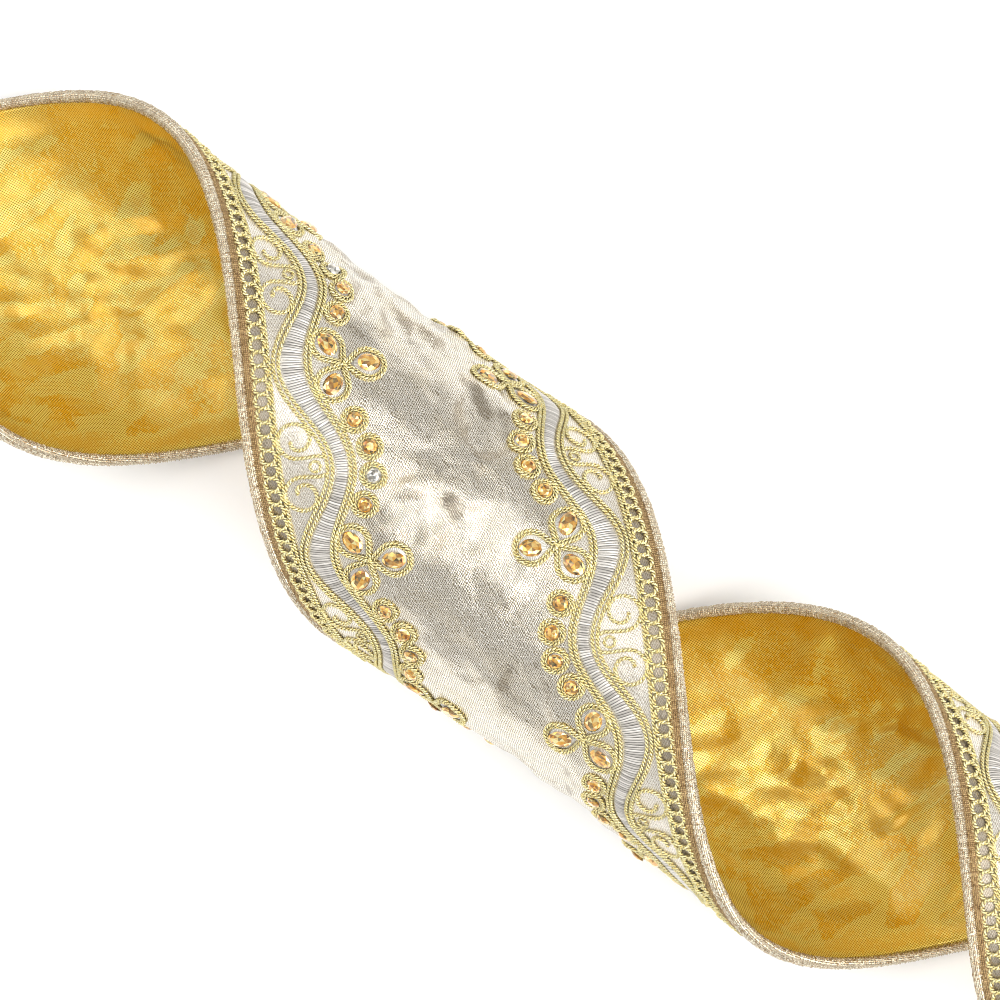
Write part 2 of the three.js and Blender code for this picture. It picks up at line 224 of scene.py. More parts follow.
def cloth_height(along, across):
    """The middle of the two cloths, out from the smooth curl."""
    share = np.clip(np.abs(across) / CLOTH_EDGE, 0, 1)
    stiff = 1 - 0.78 * smoothstep(np.abs(across), STIFF_FROM, STIFF_TO)
    creases = CREASE_SCALE * crumple(along, across, 11) * stiff * pinned(across)
    return creases - DISH * (1 - share**2)


def backing_slack(along, across):
    """How far the backing hangs away from the front cloth, except at its edges and cut ends."""
    creases = crumple(along, across, 71, softness=0.35)
    hang = np.clip(HANG + HANG_CREASE * creases, 0, None)
    return hang * pinned(across) * smoothstep(from_end(along), 0, CLOSED_END)


SILVER_FACE = 0.45  # outer skin of the front cloth, from the middle of the two
GOLD_FACE = -0.45


def on_silver(along, across, lift):
    return place(along, across, cloth_height(along, across) + SILVER_FACE + lift)


# ---- Mesh helpers ----------------------------------------------------------------------------
def add_piece(name, points, faces, material, replaces=(), uv=None, smooth=True):
    mesh = bpy.data.meshes.new(name)
    mesh.from_pydata(points.reshape(-1, 3).tolist(), [], np.asarray(faces).tolist())
    mesh.polygons.foreach_set("use_smooth", np.full(len(mesh.polygons), smooth))
    if uv is not None:
        corners = np.empty(len(mesh.loops), dtype=np.int32)
        mesh.loops.foreach_get("vertex_index", corners)
        layer = mesh.uv_layers.new(name="ribbon")
        layer.uv.foreach_set("vector", uv.reshape(-1, 2)[corners].ravel())
    mesh.materials.append(material)
    mesh.update()
    piece = bpy.data.objects.new(name, mesh)
    bpy.context.collection.objects.link(piece)
    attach(piece, "root")
    if replaces:
        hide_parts(*replaces)
    return piece


def grid_faces(rows, columns, wrap_rows=False, wrap_columns=False):
    """Quads over a grid of points, numbered row by row."""
    r = np.arange(rows if wrap_rows else rows - 1)[:, None]
    c = np.arange(columns if wrap_columns else columns - 1)[None, :]
    r2, c2 = (r + 1) % rows, (c + 1) % columns
    quads = [r * columns + c, r2 * columns + c, r2 * columns + c2, r * columns + c2]
    return np.stack([np.broadcast_to(q, (len(r), c.shape[1])) for q in quads], -1).reshape(-1, 4)


# ---- Materials -------------------------------------------------------------------------------
class Nodes:
    """A short way to write a node material."""

    def __init__(self, name):
        self.material = bpy.data.materials.new(name)
        self.material.use_nodes = True
        self.tree = self.material.node_tree
        self.shader = self.tree.nodes["Principled BSDF"]

    def add(self, kind, inputs=None, **settings):
        node = self.tree.nodes.new(kind)
        for key, value in settings.items():
            setattr(node, key, value)
        for key, value in (inputs or {}).items():
            self.put(node.inputs[key], value)
        return node

    def put(self, socket, value):
        if isinstance(value, bpy.types.NodeSocket):
            self.tree.links.new(value, socket)
        else:
            socket.default_value = value

    def math(self, operation, *values):
        node = self.add("ShaderNodeMath", operation=operation)
        for socket, value in zip(node.inputs, values):
            self.put(socket, value)
        return node.outputs[0]

    def noise(self, vector, scale, detail=2.0):
        inputs = {"Vector": vector, "Scale": scale, "Detail": detail}
        return self.add("ShaderNodeTexNoise", inputs).outputs["Fac"]

    def combine(self, x, y):
        return self.add("ShaderNodeCombineXYZ", {0: x, 1: y}).outputs[0]

    def chance(self, place):
        """A random value from 0 to 1 that holds for one whole place."""
        node = self.add("ShaderNodeTexWhiteNoise", {"Vector": place}, noise_dimensions="2D")
        return node.outputs["Value"]

    def attribute(self, name):
        return self.add("ShaderNodeAttribute", attribute_name=name).outputs["Fac"]

    def mix(self, factor, a, b):
        node = self.add("ShaderNodeMix", data_type="RGBA")
        self.put(node.inputs[0], factor)
        self.put(node.inputs[6], a)
        self.put(node.inputs[7], b)
        return node.outputs[2]

    def range(self, value, low, high, to_low, to_high):
        inputs = {0: value, 1: low, 2: high, 3: to_low, 4: to_high}
        return self.add("ShaderNodeMapRange", inputs).outputs[0]

    def uv(self):
        node = self.add("ShaderNodeUVMap", uv_map="ribbon")
        split = self.add("ShaderNodeSeparateXYZ", {0: node.outputs[0]})
        return node.outputs[0], split.outputs[0], split.outputs[1]

    def ripple(self, value, pitch):
        """0 to 1 and back once each pitch."""
        wave = self.math("SINE", self.math("MULTIPLY", value, 2 * math.pi / pitch))
        return self.math("MULTIPLY_ADD", wave, 0.5, 0.5)

    def bump(self, height, strength, distance):
        inputs = {"Height": height, "Strength": strength, "Distance": distance}
        return self.add("ShaderNodeBump", inputs).outputs[0]

    def finish(self, color, roughness, normal=None, **uniform):
        self.put(self.shader.inputs["Base Color"], color)
        self.put(self.shader.inputs["Roughness"], roughness)
        if normal is not None:
            self.put(self.shader.inputs["Normal"], normal)
        for key, value in uniform.items():
            self.shader.inputs[key.replace("_", " ").title()].default_value = value
        return self.material


def rgb(*screen):
    """A colour as it looks on a screen, 0 to 1, made linear for the shader."""
    return (*(((c + 0.055) / 1.055) ** 2.4 if c > 0.04 else c / 12.92 for c in screen), 1)


BORDER_INNER = 22  # from the centreline to where the border's ground begins to change
BORDER_FULL = 30  # and to where it has changed
CHAIN_GROUND = (41.8, 42.6)  # the same for the darker ground under the ring chain


def lame(name, bright, tone, deep, shade, pitch, metal=0.95, rib=0.0, slack=0.0,
         painted_highlight=0.0, coat=0.0, border=None):
    """Plain-woven metal yarn, in mm. The pitches are one yarn's, along and across the ribbon.

    The yarns show bright or tone; deep is painted shade in their gaps, shade is painted shade where
    the cloth is steep, and random yarns get painted glints of bright. rib is how far the weft stands
    out, slack how far the yarns wander, and lustre how much paler a slope that leans to the light is
    painted, a painted highlight."""
    n = Nodes(name)
    uv, u, v = n.uv()
    pitch_u, pitch_v = pitch
    slip = n.math("MULTIPLY_ADD", n.noise(uv, 0.4, 2), slack, -slack / 2)
    wave_u = n.math("SINE", n.math("MULTIPLY", n.math("ADD", u, slip), math.pi / pitch_u))
    wave_v = n.math("SINE", n.math("MULTIPLY", n.math("SUBTRACT", v, slip), math.pi / pitch_v))
    weave = n.math("MULTIPLY_ADD", wave_u, rib, n.math("MULTIPLY", wave_u, wave_v))
    column = n.math("FLOOR", n.math("DIVIDE", u, pitch_u))
    row = n.math("FLOOR", n.math("DIVIDE", v, 2 * pitch_v))
    speck = n.chance(n.combine(column, row))
    cloud = n.noise(uv, 0.11, 4)
    ground = n.mix(n.range(cloud, 0.38, 0.62, 0, 0.5), tone, bright)
    # painted glints: random yarns pushed towards bright
    ground = n.mix(n.range(speck, 0.5, 1, 0, 0.7), ground, bright)
    # painted highlight: slopes that lean to the light's side turn paler, up to lustre
    lit = n.math("MULTIPLY_ADD", n.math("SUBTRACT", speck, 0.5), 0.05, n.attribute("lean"))
    ground = n.mix(n.range(lit, 0.03, 0.07, 0, painted_highlight), ground, bright)
    # painted shade in the gaps between the yarns
    color = n.mix(n.range(weave, -0.55, 0.3, 1, 0), ground, deep)
    # painted shade on steep crease slopes, with ragged edges from the yarn noise
    painted_shade_mask = n.math("MULTIPLY_ADD", n.math("SUBTRACT", speck, 0.5), 0.14, n.attribute("steep"))
    color = n.mix(n.range(painted_shade_mask, 0.18, 0.32, 0, 0.5), color, shade)
    crease = n.noise(uv, 0.35, 5)
    height = n.math("MULTIPLY_ADD", weave, 0.12, n.math("MULTIPLY", crease, 0.8))
    height = n.math("MULTIPLY_ADD", speck, 0.22, height)
    normal = n.bump(height, 0.6, 0.0003)
    roughness = n.range(speck, 0, 1, 0.13, 0.24)
    if border:
        distance = n.math("ABSOLUTE", v)
        edge = n.range(distance, BORDER_INNER, BORDER_FULL, 0, 1)
        color = n.mix(n.math("MULTIPLY", edge, 0.25), color, border)
        color = n.mix(n.range(distance, *CHAIN_GROUND, 0, 0.6), color, shade)
        metal = n.range(edge, 0, 1, metal, 0.7)
        roughness = n.math("MULTIPLY_ADD", edge, 0.1, roughness)
    n.put(n.shader.inputs["Metallic"], metal)
    return n.finish(color, roughness, normal, coat_weight=coat, coat_roughness=0.22)


TWIST = 0.4  # from one fine strand of a cord to the next
WRAP = 0.45  # the same in an overlock thread


def thread(name, bright, tone, deep, pitch, metallic, roughness, groove, plies=0):
    """Fine twisted yarn. The texture runs along u in mm and once round in v. The colour is painted
    shade, deep, between strands, by the share in groove, and between the plies, and painted glints
    turn it bright in spots."""
    n = Nodes(name)
    uv, u, v = n.uv()
    strand = n.ripple(n.math("MULTIPLY_ADD", v, 2 * pitch, u), pitch)
    fleck = n.noise(uv, 1.7, 3)
    painted_glint = n.noise(uv, 2.4, 1)
    color = n.mix(n.range(fleck, 0.35, 0.65, 0, 1), tone, bright)
    # painted shade in the grooves between strands
    color = n.mix(n.range(strand, 0, 0.4, groove, 0), color, deep)
    # painted glints: spots of noise turned bright
    color = n.mix(n.range(painted_glint, 0.56, 0.68, 0, 0.85), color, bright)
    if plies:
        # painted shade in the groove between the plies
        ridge = n.ripple(n.math("ADD", v, 0.25 / plies), 1 / plies)
        color = n.mix(n.range(ridge, 0, 0.3, 0.9, 0), color, deep)
    normal = n.bump(strand, 0.5, 0.00008)
    roughness = n.range(fleck, 0.3, 0.7, roughness - 0.1, roughness + 0.12)
    return n.finish(color, roughness, normal, metallic=metallic)


def satin(name, bright, tone, deep):
    """Flat floss. The texture counts threads along u and runs along each of them in v, in mm."""
    n = Nodes(name)
    uv, u, v = n.uv()
    shade = n.chance(n.combine(n.math("FLOOR", u), 0))
    streak = n.noise(n.combine(n.math("MULTIPLY", u, 4), n.math("MULTIPLY", v, 0.5)), 1, 3)
    place_in = n.math("PINGPONG", n.math("FRACT", u), 0.5)
    color = n.mix(n.range(n.math("ADD", shade, streak), 0.5, 1.5, 0, 1), tone, bright)
    # painted shade in the gaps between threads
    color = n.mix(n.range(place_in, 0.02, 0.2, 0.95, 0), color, deep)
    normal = n.bump(streak, 0.4, 0.0001)
    return n.finish(color, n.range(streak, 0.3, 0.7, 0.26, 0.42), normal, metallic=0.5)


def stone(name, colors):
    """Foil-backed crystal under a clear coat: each facet gets a random tone on the ramp, its painted
    light, dark as painted shade and pale as a painted highlight.
    """
    n = Nodes(name)
    # painted light: each facet's random tone, dark facets as painted shade and pale ones as painted
    # highlights
    ramp = n.add("ShaderNodeValToRGB", {0: n.attribute("facet")})
    steps = ramp.color_ramp.elements
    steps[0].color = colors[0]
    steps[1].color = colors[-1]
    for i, color in enumerate(colors[1:-1], 1):
        steps.new(i / (len(colors) - 1)).color = color
    cloudy = n.noise(n.add("ShaderNodeTexCoord").outputs["Object"], 900, 2)
    color = n.mix(n.range(cloudy, 0.3, 0.7, 0, 0.35), ramp.outputs[0], colors[-1])
    roughness = n.range(cloudy, 0.3, 0.7, 0.05, 0.16)
    return n.finish(color, roughness, metallic=0.75, coat_weight=1.0, coat_roughness=0.03)


SILVER = lame(
    "silver_lame", rgb(0.99, 0.98, 0.95), rgb(0.95, 0.92, 0.85), rgb(0.57, 0.51, 0.41),
    rgb(0.48, 0.41, 0.30),
    pitch=(0.49, 0.33), rib=0.12, slack=1.6, border=rgb(0.93, 0.91, 0.88),
)
# with a painted highlight on slopes that lean to the light
GOLD = lame(
    "gold_lame", rgb(1, 0.94, 0.50), rgb(0.97, 0.76, 0.18), rgb(0.56, 0.40, 0.06),
    rgb(0.84, 0.62, 0.11),
    pitch=(0.43, 0.38), metal=0.5, painted_highlight=0.9, coat=0.3,
)
CORD = thread(
    "gold_cord", rgb(1, 0.98, 0.80), rgb(1, 0.91, 0.58), rgb(0.38, 0.25, 0.08),
    TWIST, metallic=0.75, roughness=0.28, groove=0.2, plies=2,
)
SATIN = satin(
    "satin_thread", rgb(0.90, 0.88, 0.85), rgb(0.68, 0.66, 0.63), rgb(0.20, 0.19, 0.18),
)
PALE_SATIN = satin(
    "pale_satin_thread", rgb(0.97, 0.96, 0.93), rgb(0.84, 0.82, 0.77), rgb(0.42, 0.39, 0.33),
)
BINDING = thread(
    "champagne_binding", rgb(1, 0.97, 0.88), rgb(0.72, 0.60, 0.44), rgb(0.20, 0.13, 0.07),
    WRAP, metallic=0.8, roughness=0.24, groove=0.9,
)
SEAM = thread(
    "tan_seam", rgb(0.82, 0.70, 0.50), rgb(0.55, 0.42, 0.26), rgb(0.16, 0.10, 0.04),
    WRAP, metallic=0.65, roughness=0.34, groove=0.9,
)
AMBER = stone(
    "amber_stone",
    [rgb(0.20, 0.08, 0.0), rgb(0.62, 0.34, 0.04), rgb(0.95, 0.66, 0.14), rgb(1, 0.95, 0.68)],
)
CLEAR = stone(
    "clear_stone",
    [rgb(0.20, 0.19, 0.17), rgb(0.56, 0.53, 0.48), rgb(0.84, 0.81, 0.75), rgb(1, 1, 0.97)],
)


def wire_material():
    n = Nodes("spring_wire")
    where = n.add("ShaderNodeTexCoord").outputs["Object"]
    draw = n.noise(where, 2500, 3)
    color = n.mix(n.range(draw, 0.3, 0.7, 0, 1), rgb(0.76, 0.77, 0.78), rgb(0.62, 0.62, 0.63))
    roughness = n.range(draw, 0.3, 0.7, 0.25, 0.45)
    return n.finish(color, roughness, n.bump(draw, 0.2, 0.00003), metallic=1.0)


# ---- Cloths ----------------------------------------------------------------------------------
def cloth(name, near, far, material, node, slack=None):
    """A thin closed sheet between two heights about the cloths' middle."""
    along = np.linspace(RIBBON_START, RIBBON_END, 501)
    across = np.linspace(-CLOTH_EDGE, CLOTH_EDGE, 81)
    u, v = np.meshgrid(along, across, indexing="ij")
    middle = cloth_height(u, v)
    if slack:
        middle = middle - slack(u, v)
    layers = np.stack([place(u, v, middle + far), place(u, v, middle + near)])
    count = u.size
    rows, columns = u.shape
    top = grid_faces(rows, columns)
    bottom = count + top[:, ::-1]
    number = np.arange(count).reshape(rows, columns)
    rim = np.concatenate([number[:, 0], number[-1, 1:], number[-2::-1, -1], number[0, -2:0:-1]])
    after = np.roll(rim, -1)
    walls = np.stack([rim, after, after + count, rim + count], -1)[:, ::-1]
    uv = np.stack([u, v], -1)
    faces = np.concatenate([top, bottom, walls])
    piece = add_piece(name, layers, faces, material, [node], np.stack([uv, uv]))
    rise, tilt = np.gradient(middle, along, across)
    # steep feeds the painted shade on steep crease slopes; lean, the slope towards the light's side,
    # feeds the painted highlight
    for key, value in (("steep", np.hypot(rise, tilt)), ("lean", 0.8 * rise + 0.6 * tilt)):
        attribute = piece.data.attributes.new(key, "FLOAT", "POINT")
        attribute.data.foreach_set("value", np.tile(value.ravel(), 2).astype(np.float32))
    return piece


# ---- Cords -----------------------------------------------------------------------------------
CORD_SIDES = 8
CORD_STEP = 0.2
PLY_PITCH = 2.1  # one full turn of a two-ply cord
WAIST = 0.42  # a two-ply cord's least radius, as a share of its greatest


def resample(path, step, closed):
    path = np.asarray(path, float)
    if closed:
        path = np.vstack([path, path[:1]])
    run = np.concatenate([[0], np.cumsum(np.hypot(*np.diff(path, axis=0).T))])
    count = max(8, int(round(run[-1] / step)))
    at = np.linspace(0, run[-1], count + 1)
    if closed:
        at = at[:-1]
    return np.stack([np.interp(at, run, path[:, i]) for i in (0, 1)], -1), at, run[-1]


def cord_tube(path, side, radius, lift, closed=False, first=0):
    """Points, faces and texture places of a two-ply cord laid along a path on the silver."""
    route, at, length = resample(path, CORD_STEP, closed)
    centre = on_silver(route[:, 0], side * route[:, 1], lift)
    if closed:
        tangent = np.roll(centre, -1, 0) - np.roll(centre, 1, 0)
        turns = max(1, round(length / PLY_PITCH * 2)) / 2
    else:
        tangent = np.gradient(centre, axis=0)
        turns = length / PLY_PITCH
    tangent /= np.linalg.norm(tangent, axis=1, keepdims=True)
    above = on_silver(route[:, 0], side * route[:, 1], lift + 1) - centre
    sideways = np.cross(tangent, above)
    sideways /= np.linalg.norm(sideways, axis=1, keepdims=True)
    up = np.cross(sideways, tangent)
    twist = 2 * np.pi * turns * at / length
    angle = np.arange(CORD_SIDES) * 2 * np.pi / CORD_SIDES
    lobe = radius * (WAIST + (1 - WAIST) * np.abs(np.cos(angle)))
    taper = np.ones(len(at))
    if not closed:
        taper = np.sqrt(np.clip(np.minimum(at, length - at) / radius, 0.02, 1))
    spin = angle[None] + twist[:, None]
    reach = MM * lobe[None] * taper[:, None]
    points = centre[:, None] + (reach * np.cos(spin))[..., None] * sideways[:, None]
    points = points + (reach * np.sin(spin))[..., None] * up[:, None]
    faces = grid_faces(len(at), CORD_SIDES, wrap_rows=closed, wrap_columns=True) + first
    uv = np.stack(np.broadcast_arrays(at[:, None], angle[None] / (2 * np.pi)), -1)
    return points.reshape(-1, 3), faces, uv.reshape(-1, 2)


def add_cords(name, runs, side, material, replaces=()):
    """Several cords as one piece. Each run is (path, radius, lift, closed)."""
    points, faces, uvs, first = [], [], [], 0
    for path, radius, lift, closed in runs:
        tube = cord_tube(path, side, radius, lift, closed, first)
        points.append(tube[0])
        faces.append(tube[1])
        uvs.append(tube[2])
        first += len(tube[0])
    points, faces, uvs = (np.concatenate(parts) for parts in (points, faces, uvs))
    return add_piece(name, points, faces, material, replaces, uvs)


# ---- The border's pattern --------------------------------------------------------------------
WAVE = (35.2, 5.3)  # mean distance from the centreline, and swing
SWAG = (28.4, 4.1)
CHAIN_CENTRE = 44.5
CHAIN_PITCH = 3.45
CHAIN_RING = 1.8  # radius of one ring of the chain, to the middle of its cord
CHAIN_CORD = 0.6  # that cord's own radius
RAILS = [(-2.4, 0.55, 0.35), (2.2, 0.4, 0.3)]  # from the chain's middle, radius and lift
THIN = 0.55  # radius of the border's cords
FINE = 0.34  # radius of the cord just inside a setting's outer one
PAIR_OUTER, PAIR_INNER = 0.62, 0.55  # each wave is two cords, this far either side of it
ROUNDS = [(-10.6, 22.6), (-3.6, 19.6), (3.6, 19.6), (10.6, 22.6)]
HEART = 23.4
PETAL_REACH = 6.3
PETAL_TILTS = [math.radians(a) for a in (34, 146, 270)]
ROUND_CORDS = [(3.1, THIN, 0.4), (2.3, FINE, 0.5)]  # ring radius, cord radius and lift
PETAL_CORDS = [(4.3, 6.5, THIN, 0.4), (3.5, 5.3, FINE, 0.5)]  # the same, with the point's reach
LAID = 0.35  # lift of a cord that lies on the cloth


def repeat_axes():
    return [RIBBON_START + REPEAT * i + TREFOIL_AT for i in range(REPEATS)]


def wave_at(wave, along):
    mean, swing = wave
    return mean + swing * np.cos(2 * np.pi * (along - RIBBON_START - TREFOIL_AT) / REPEAT)


def wave_path(wave, offset):
    along = np.arange(RIBBON_START + 0.5, RIBBON_END - 0.4, 0.5)
    slope = np.gradient(wave_at(wave, along), along)
    tilt = np.hypot(1, slope)
    return np.stack([along - offset * slope / tilt, wave_at(wave, along) + offset / tilt], -1)


def straight_path(across):
    along = np.arange(RIBBON_START + 0.5, RIBBON_END - 0.4, 0.5)
    return np.stack([along, np.full_like(along, across)], -1)


def circle(centre, radius):
    angle = np.linspace(0, 2 * np.pi, 40, endpoint=False)
    return np.stack([centre[0] + radius * np.cos(angle), centre[1] + radius * np.sin(angle)], -1)


def petal(centre, tilt, radius, point):
    """A teardrop round a centre, its point on the side away from tilt."""
    tangent = math.acos(radius / point)
    angle = tilt + math.pi + np.linspace(tangent, 2 * math.pi - tangent, 33)
    bow = np.stack([radius * np.cos(angle), radius * np.sin(angle)], -1)
    tip = -point * np.array([[math.cos(tilt), math.sin(tilt)]])
    return np.array(centre) + np.vstack([tip, bow])


def petal_centres(axis):
    for tilt in PETAL_TILTS:
        yield (axis + PETAL_REACH * math.cos(tilt), HEART + PETAL_REACH * math.sin(tilt)), tilt


def round_centres(axis):
    for along, across in ROUNDS:
        yield axis + REPEAT / 2 + along, across


def chain(edge, side):
    rings = int((RIBBON_END - RIBBON_START) / CHAIN_PITCH)
    runs = []
    for i in range(rings):
        centre = (RIBBON_START + CHAIN_PITCH * (i + 0.55), CHAIN_CENTRE)
        runs.append((circle(centre, CHAIN_RING), CHAIN_CORD, 0.45 + 0.3 * (i % 2), True))
    add_cords(f"ring_chain_{edge}", runs, side, CORD, [f"ring_chain_{edge}"])
    rails = [
        (straight_path(CHAIN_CENTRE + offset), radius, lift, False) for offset, radius, lift in RAILS
    ]
    add_cords(f"chain_rails_{edge}", rails, side, CORD)


def wave_cords(edge, side):
    outer = [(wave_path(WAVE, d), THIN, LAID, False) for d in (-PAIR_OUTER, PAIR_OUTER)]
    add_cords(f"wave_cord_{edge}", outer, side, CORD, [f"wave_cord_{edge}"])
    inner = [(wave_path(SWAG, d), THIN, LAID, False) for d in (-PAIR_INNER, PAIR_INNER)]
    add_cords(f"inner_cord_{edge}", inner, side, CORD)


EYELET = 33.5  # the eyelet's distance from the centreline
STEM = [(2.0, -3.2), (2.6, -0.8), (2.4, 1.6)]  # from the eyelet: along, then outwards
CURL = (6.9, 4.0)  # the middle of the scroll's curl, from the eyelet
CURL_OUTER, CURL_INNER = 4.55, 1.15  # radius of the curl where it starts and ends
EYELET_RING, EYELET_CORD = 1.3, 0.42  # radius of the eyelet and of its cord


def scroll_path(middle, hand):
    """A stem from the wave cord, past the eyelet, into a curl of one and a quarter turns."""
    t = np.linspace(0, 1, 60)
    angle = np.radians(180 - 450 * t)
    radius = CURL_OUTER - (CURL_OUTER - CURL_INNER) * t**2.2
    curl = np.stack([CURL[0] + radius * np.cos(angle), CURL[1] + radius * np.sin(angle)], -1)
    path = np.vstack([STEM, curl])
    return np.stack([middle + hand * path[:, 0], EYELET + path[:, 1]], -1)


def scrolls(edge, side):
    runs = []
    for axis in repeat_axes():
        middle = axis + REPEAT / 2
        for hand in (-1, 1):
            runs.append((scroll_path(middle, hand), THIN, LAID, False))
        runs.append((circle((middle, EYELET), EYELET_RING), EYELET_CORD, 0.36, True))
    nodes = [f"scroll_{edge}_{i + 1:02d}" for i in range(REPEATS)]
    add_cords(f"scrolls_{edge}", runs, side, CORD, nodes)


def jewel_rings(edge, side):
    rounds, petals = [], []
    for axis in repeat_axes():
        for centre in round_centres(axis):
            for ring, cord, lift in ROUND_CORDS:
                rounds.append((circle(centre, ring), cord, lift, True))
        for centre, tilt in petal_centres(axis):
            for ring, point, cord, lift in PETAL_CORDS:
                petals.append((petal(centre, tilt, ring, point), cord, lift, True))
    nodes = [f"jewel_swag_{edge}_{i + 1:02d}" for i in range(REPEATS)]
    add_cords(f"round_rings_{edge}", rounds, side, CORD, nodes)
    add_cords(f"petal_rings_{edge}", petals, side, CORD)


# ---- Satin -----------------------------------------------------------------------------------
STITCH = 0.62  # from one satin thread to the next
STITCH_POINTS = 4  # along the ribbon, for one thread of satin or overlock
STITCH_ROUNDING = [-1.3, 0.5, 1.0, 0.5]  # one satin thread's height at each of them
SATIN_END = 4  # the bands stop this far before the cut ends
SATIN_FROM, SATIN_TO = 1.2, 1.3  # from the middle of each wave to the satin between them


def satin_band(edge, side):
    """Satin stitches side by side, square to the band, each a rounded ridge of its own height."""
    threads = int((RIBBON_END - RIBBON_START - 2 * SATIN_END) / STITCH)
    rng = np.random.default_rng(31 + side)

    def each(values):
        """One value for each thread, at all of its points."""
        return np.repeat(values, STITCH_POINTS)

    number = np.arange(threads * STITCH_POINTS) / STITCH_POINTS
    along = RIBBON_START + SATIN_END + STITCH * number
    ridge = np.tile(STITCH_ROUNDING, threads)
    height = 0.09 * ridge + each(rng.uniform(-0.05, 0.05, threads))
    height = height - 0.25 * (each(rng.random(threads) < 0.3) & (ridge < 0))
    slope = np.gradient((wave_at(WAVE, along) + wave_at(SWAG, along)) / 2, along)
    half = (wave_at(WAVE, along) - wave_at(SWAG, along)) / 2
    share = np.linspace(-1, 1, 9)
    u = along[:, None] - 0.4 * (slope * half)[:, None] * share[None]
    u = u + each(rng.uniform(-0.12, 0.12, threads))[:, None] * share[None]
    low = wave_at(SWAG, u) + SATIN_FROM
    high = wave_at(WAVE, u) - SATIN_TO
    across = low + (high - low) * (share[None] + 1) / 2
    lift = -0.12 + 0.5 * np.sqrt(1 - 0.98 * share[None] ** 2) ** 0.8 + height[:, None]
    points = on_silver(u, side * across, lift)
    uv = np.stack(np.broadcast_arrays(number[:, None], across), -1)
    faces = grid_faces(*u.shape)
    faces = faces if side < 0 else faces[:, ::-1]
    name = f"satin_band_{edge}"
    add_piece(name, points, faces, SATIN, [name], uv)


# ---- Bindings --------------------------------------------------------------------------------
OVERLOCK = 0.5  # from one overlock thread to the next
OVERLOCK_SIDES = 15
OVERLOCK_ROUNDING = [-1.0, 0.4, 1.0, 0.4]  # one thread's height at each of its points
ROLL = {"middle": (49.35, 0), "half_width": 1.3, "half_height": 1.5}  # round the wire
SEAM_ROLL = {"middle": (47.4, 0.4), "half_width": 1.4, "half_height": 0.65}  # inside it


def overlocked(name, side, roll, material, seed, replaces=()):
    """Threads wrapped over the ribbon's edge, as uneven ridges round an oval tube."""
    threads = int((RIBBON_END - RIBBON_START) / OVERLOCK)
    rng = np.random.default_rng(seed + side)

    def each(low, high):
        return np.repeat(rng.uniform(low, high, threads), STITCH_POINTS)[:, None]

    ridge = np.tile(OVERLOCK_ROUNDING, threads)[:, None]
    along = RIBBON_START + OVERLOCK * np.arange(threads * STITCH_POINTS)[:, None] / STITCH_POINTS
    angle = np.linspace(0, 2 * np.pi, OVERLOCK_SIDES, endpoint=False)[None]
    bulge = each(0.1, 0.26) * ridge + each(-0.09, 0.09)
    closing = np.sqrt(np.clip(from_end(along) / roll["half_width"], 0.01, 1))
    across = roll["middle"][0] + closing * (roll["half_width"] + bulge) * np.cos(angle)
    out = roll["middle"][1] + closing * (roll["half_height"] + bulge) * np.sin(angle)
    u = along + 0.5 * np.sin(angle) + each(-0.15, 0.15) * np.cos(angle)
    u = np.clip(u, RIBBON_START, RIBBON_END)
    points = place(u, side * across, out)
    number = np.repeat(np.arange(threads), STITCH_POINTS)[:, None]
    round_it = angle * roll["half_width"] + 5.3 * number  # each thread starts elsewhere in the noise
    uv = np.stack(np.broadcast_arrays(round_it, 0.1 * number), -1)
    faces = grid_faces(*u.shape, wrap_columns=True)
    faces = faces if side > 0 else faces[:, ::-1]
    add_piece(name, points, faces, material, replaces, uv)


def binding(edge, side):
    name = f"edge_binding_{edge}"
    overlocked(name, side, ROLL, BINDING, 41, [name])
    overlocked(f"edge_seam_{edge}", side, SEAM_ROLL, SEAM, 45)


# ---- Stones ----------------------------------------------------------------------------------
def brilliant(length, width):
    """A cut stone's points and facets, about its own middle: girdle, crown, table and back."""
    def ring(count, share, height, turn=0.0):
        angle = (np.arange(count) + turn) * 2 * np.pi / count
        return np.stack([length * share * np.cos(angle), width * share * np.sin(angle),
                         np.full(count, height)], -1)

    points = np.vstack([ring(16, 0.85, 0.1), ring(16, 1, 0.65), ring(8, 0.8, 1.12, 0.5),
                        ring(8, 0.52, 1.38), [[0, 0, 1.42]]])
    back, girdle, crown, table, middle = 0, 16, 32, 40, 48
    facets = []
    for i in range(16):
        j = (i + 1) % 16
        facets += [(back + i, back + j, girdle + j), (back + i, girdle + j, girdle + i)]
    for i in range(8):
        j = (i + 1) % 8
        a, b, c = girdle + 2 * i, girdle + 2 * i + 1, girdle + (2 * i + 2) % 16
        facets += [(a, b, crown + i), (b, c, crown + i), (c, crown + j, crown + i)]
        facets += [(crown + i, table + j, table + i), (crown + i, crown + j, table + j)]
        facets += [(table + i, table + j, middle)]
    return points, np.array(facets)


CLEAR_SHARE = 0.09  # of the stones
ROUND_STONE = (1.9, 1.9)  # half its length and half its width
PETAL_STONE = (3.1, 2.25)
ROUND_GROUND = (2.2, 2.2)  # the same for the stitches that fill the setting round it
PETAL_GROUND = (3.7, 3.2)
SPOKES = 44  # stitches round one stone
SPOKE_SHARES = np.array([0.55, 0.75, 1.0])  # places along one stitch, from under the stone
SPOKE_LIFTS = np.array([1.5, 1.0, 0.4])  # and how much of its height it has there


def settings(axis, round_size, petal_size):
    """Centre, tilt, length and width of the stones of one repeat, or of what lies round them."""
    rounds = [(centre, 0, *round_size) for centre in round_centres(axis)]
    return rounds + [(centre, tilt, *petal_size) for centre, tilt in petal_centres(axis)]


